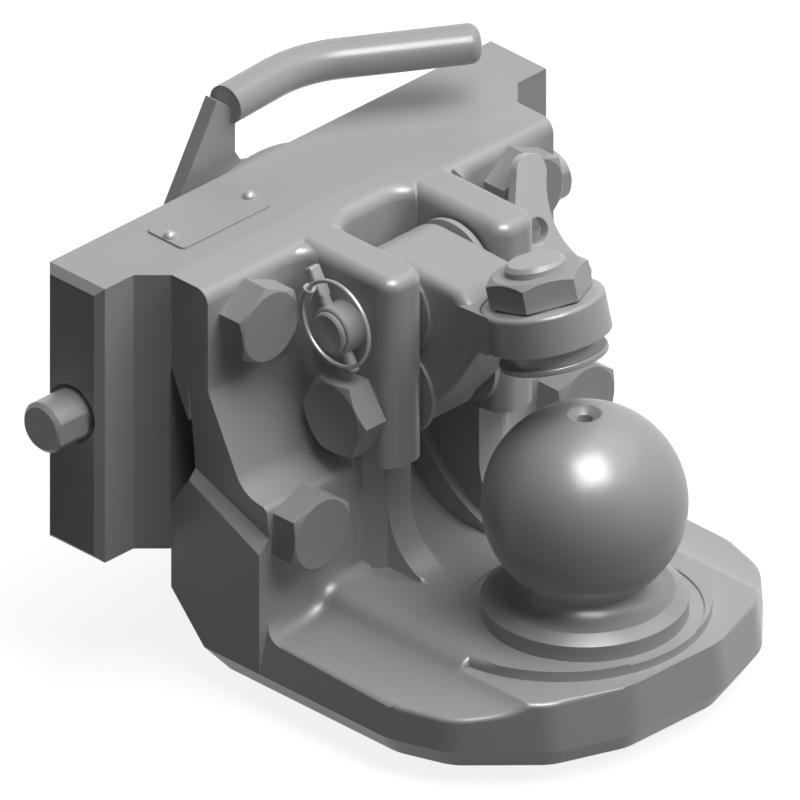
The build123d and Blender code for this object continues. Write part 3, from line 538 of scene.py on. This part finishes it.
@dataclass
class Studio:
    """Floor, lamps and camera, none of them part of the hitch.

    Args:
        floor_z: Height of the floor in metres.
        look_at: The point in the middle of the picture, in mm.
        pixels_per_mm: Scale of the photograph's parallel projection.
        picture_px: Width of the picture in pixels.
        elevation_deg: The camera's height over the horizon.
        azimuth_deg: The camera's direction from the object, in the plan.
        distance: The camera's distance from that point in metres.
        clip_end: How far the camera sees, in metres.
    """

    floor_z: float
    look_at: tuple[float, float, float] = (-2.0, -57.5, -20.0)
    pixels_per_mm: float = 2.6
    picture_px: float = 800.0
    elevation_deg: float = 30.0
    azimuth_deg: float = 225.0
    distance: float = 2.0
    clip_end: float = 20.0

    def target(self) -> Vector:
        """Give the point that camera and lamps aim at.

        Returns:
            The point in metres.
        """
        return Vector(self.look_at) * MM

    def place(self, name: str, data: bpy.types.ID, towards: Vector,
              away: float) -> bpy.types.Object:
        """Put a lamp or the camera in the scene so that it aims at the target.

        Args:
            name: The new object's name.
            data: The lamp or the camera.
            towards: Unit vector from the target to it.
            away: Its distance in metres.

        Returns:
            The new object.
        """
        holder = bpy.data.objects.new(name, data)
        holder.location = self.target() + towards * away
        holder.rotation_euler = (-towards).to_track_quat("-Z", "Y").to_euler()
        bpy.context.scene.collection.objects.link(holder)
        return holder

    def lay_floor(self) -> None:
        """Lay a plain pale floor that keeps the hitch's shadow."""
        sheet = bmesh.new()
        bmesh.ops.create_grid(sheet, x_segments=1, y_segments=1, size=FLOOR_HALF_M,
                              matrix=Matrix.Translation((0, 0, self.floor_z)))
        mesh = bpy.data.meshes.new("floor")
        sheet.to_mesh(mesh)
        sheet.free()
        floor = bpy.data.objects.new("floor", mesh)
        bpy.context.scene.collection.objects.link(floor)
        mesh.materials.append(self.floor_material())
        floor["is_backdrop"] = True

    def floor_material(self) -> bpy.types.Material:
        """Make the floor's material: matt white with a grey shadow, and dim for rays that light.

        Returns:
            The material.
        """
        material = bpy.data.materials.new("matt white studio floor")
        material.use_nodes = True
        tree = material.node_tree
        tree.nodes.clear()
        matt = add_node(tree, "ShaderNodeBsdfDiffuse", {"Color": FLOOR_SEEN})
        lift = add_node(tree, "ShaderNodeEmission", {"Color": WHITE, "Strength": FLOOR_GLOW})
        seen = add_node(tree, "ShaderNodeAddShader", None,
                        {0: matt.outputs["BSDF"], 1: lift.outputs["Emission"]})
        lit = add_node(tree, "ShaderNodeBsdfDiffuse", {"Color": FLOOR_LIT})
        pick = add_node(tree, "ShaderNodeMixShader", None,
                        {0: seen_directly(tree), 1: lit.outputs["BSDF"],
                         2: seen.outputs["Shader"]})
        add_node(tree, "ShaderNodeOutputMaterial", None, {"Surface": pick.outputs["Shader"]})
        return material

    def surround(self) -> None:
        """Light the hitch evenly and dimly, and show white where the surroundings are seen."""
        world = bpy.data.worlds.new("studio")
        bpy.context.scene.world = world
        world.use_nodes = True
        tree = world.node_tree
        tree.nodes.clear()
        lit, seen = (add_node(tree, "ShaderNodeBackground", {"Color": WHITE, "Strength": strength})
                     for strength in (WORLD_LIT, WORLD_SEEN))
        pick = add_node(tree, "ShaderNodeMixShader", None,
                        {0: seen_directly(tree), 1: lit.outputs["Background"],
                         2: seen.outputs["Background"]})
        add_node(tree, "ShaderNodeOutputWorld", None, {"Surface": pick.outputs["Shader"]})

    def hang(self, lamp: Lamp) -> None:
        """Hang a lamp.

        Args:
            lamp: The lamp.
        """
        light = bpy.data.lights.new(lamp.name, "AREA")
        light.shape = "SQUARE"
        light.size = lamp.size
        light.energy = lamp.watts
        towards = Vector(lamp.direction).normalized()
        holder = self.place(lamp.name, light, towards, lamp.away)
        holder.visible_diffuse = not lamp.sheen_only

    def set_camera(self) -> None:
        """Set a camera with the photograph's parallel projection."""
        view = bpy.data.cameras.new("photo view")
        view.type = "ORTHO"
        view.ortho_scale = self.picture_px / self.pixels_per_mm * MM
        view.clip_end = self.clip_end
        high = math.radians(self.elevation_deg)
        turn = math.radians(self.azimuth_deg)
        towards = Vector((math.cos(high) * math.cos(turn), math.cos(high) * math.sin(turn),
                          math.sin(high)))
        bpy.context.scene.camera = self.place("photo view", view, towards, self.distance)

    def build(self) -> None:
        """Set up the whole studio."""
        self.lay_floor()
        self.surround()
        for lamp in LAMPS:
            self.hang(lamp)
        self.set_camera()
        bpy.context.scene.view_settings.view_transform = "Standard"


def plain_bounds() -> list[Any]:
    """Returns:
        The lower and the upper corner in metres.
    """
    low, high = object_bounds()
    return [[float(c) for c in low], [float(c) for c in high]]


def main() -> None:
    """Build every sub-assembly, then the studio, whose floor lies at the lowest point of the hitch
    as imported.
    """
    logging.basicConfig(level=logging.INFO, format="%(message)s")
    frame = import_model()
    before = plain_bounds()
    for assembly in (SlidePlate(frame), LockingGear(frame), Bracket(frame), BallStud(frame),
                     HoldDown(frame)):
        assembly.build()
        LOG.info("built %s", type(assembly).__name__)
    floor_z = before[0][2]
    Studio(floor_z).build()


if __name__ == "__main__":
    main()
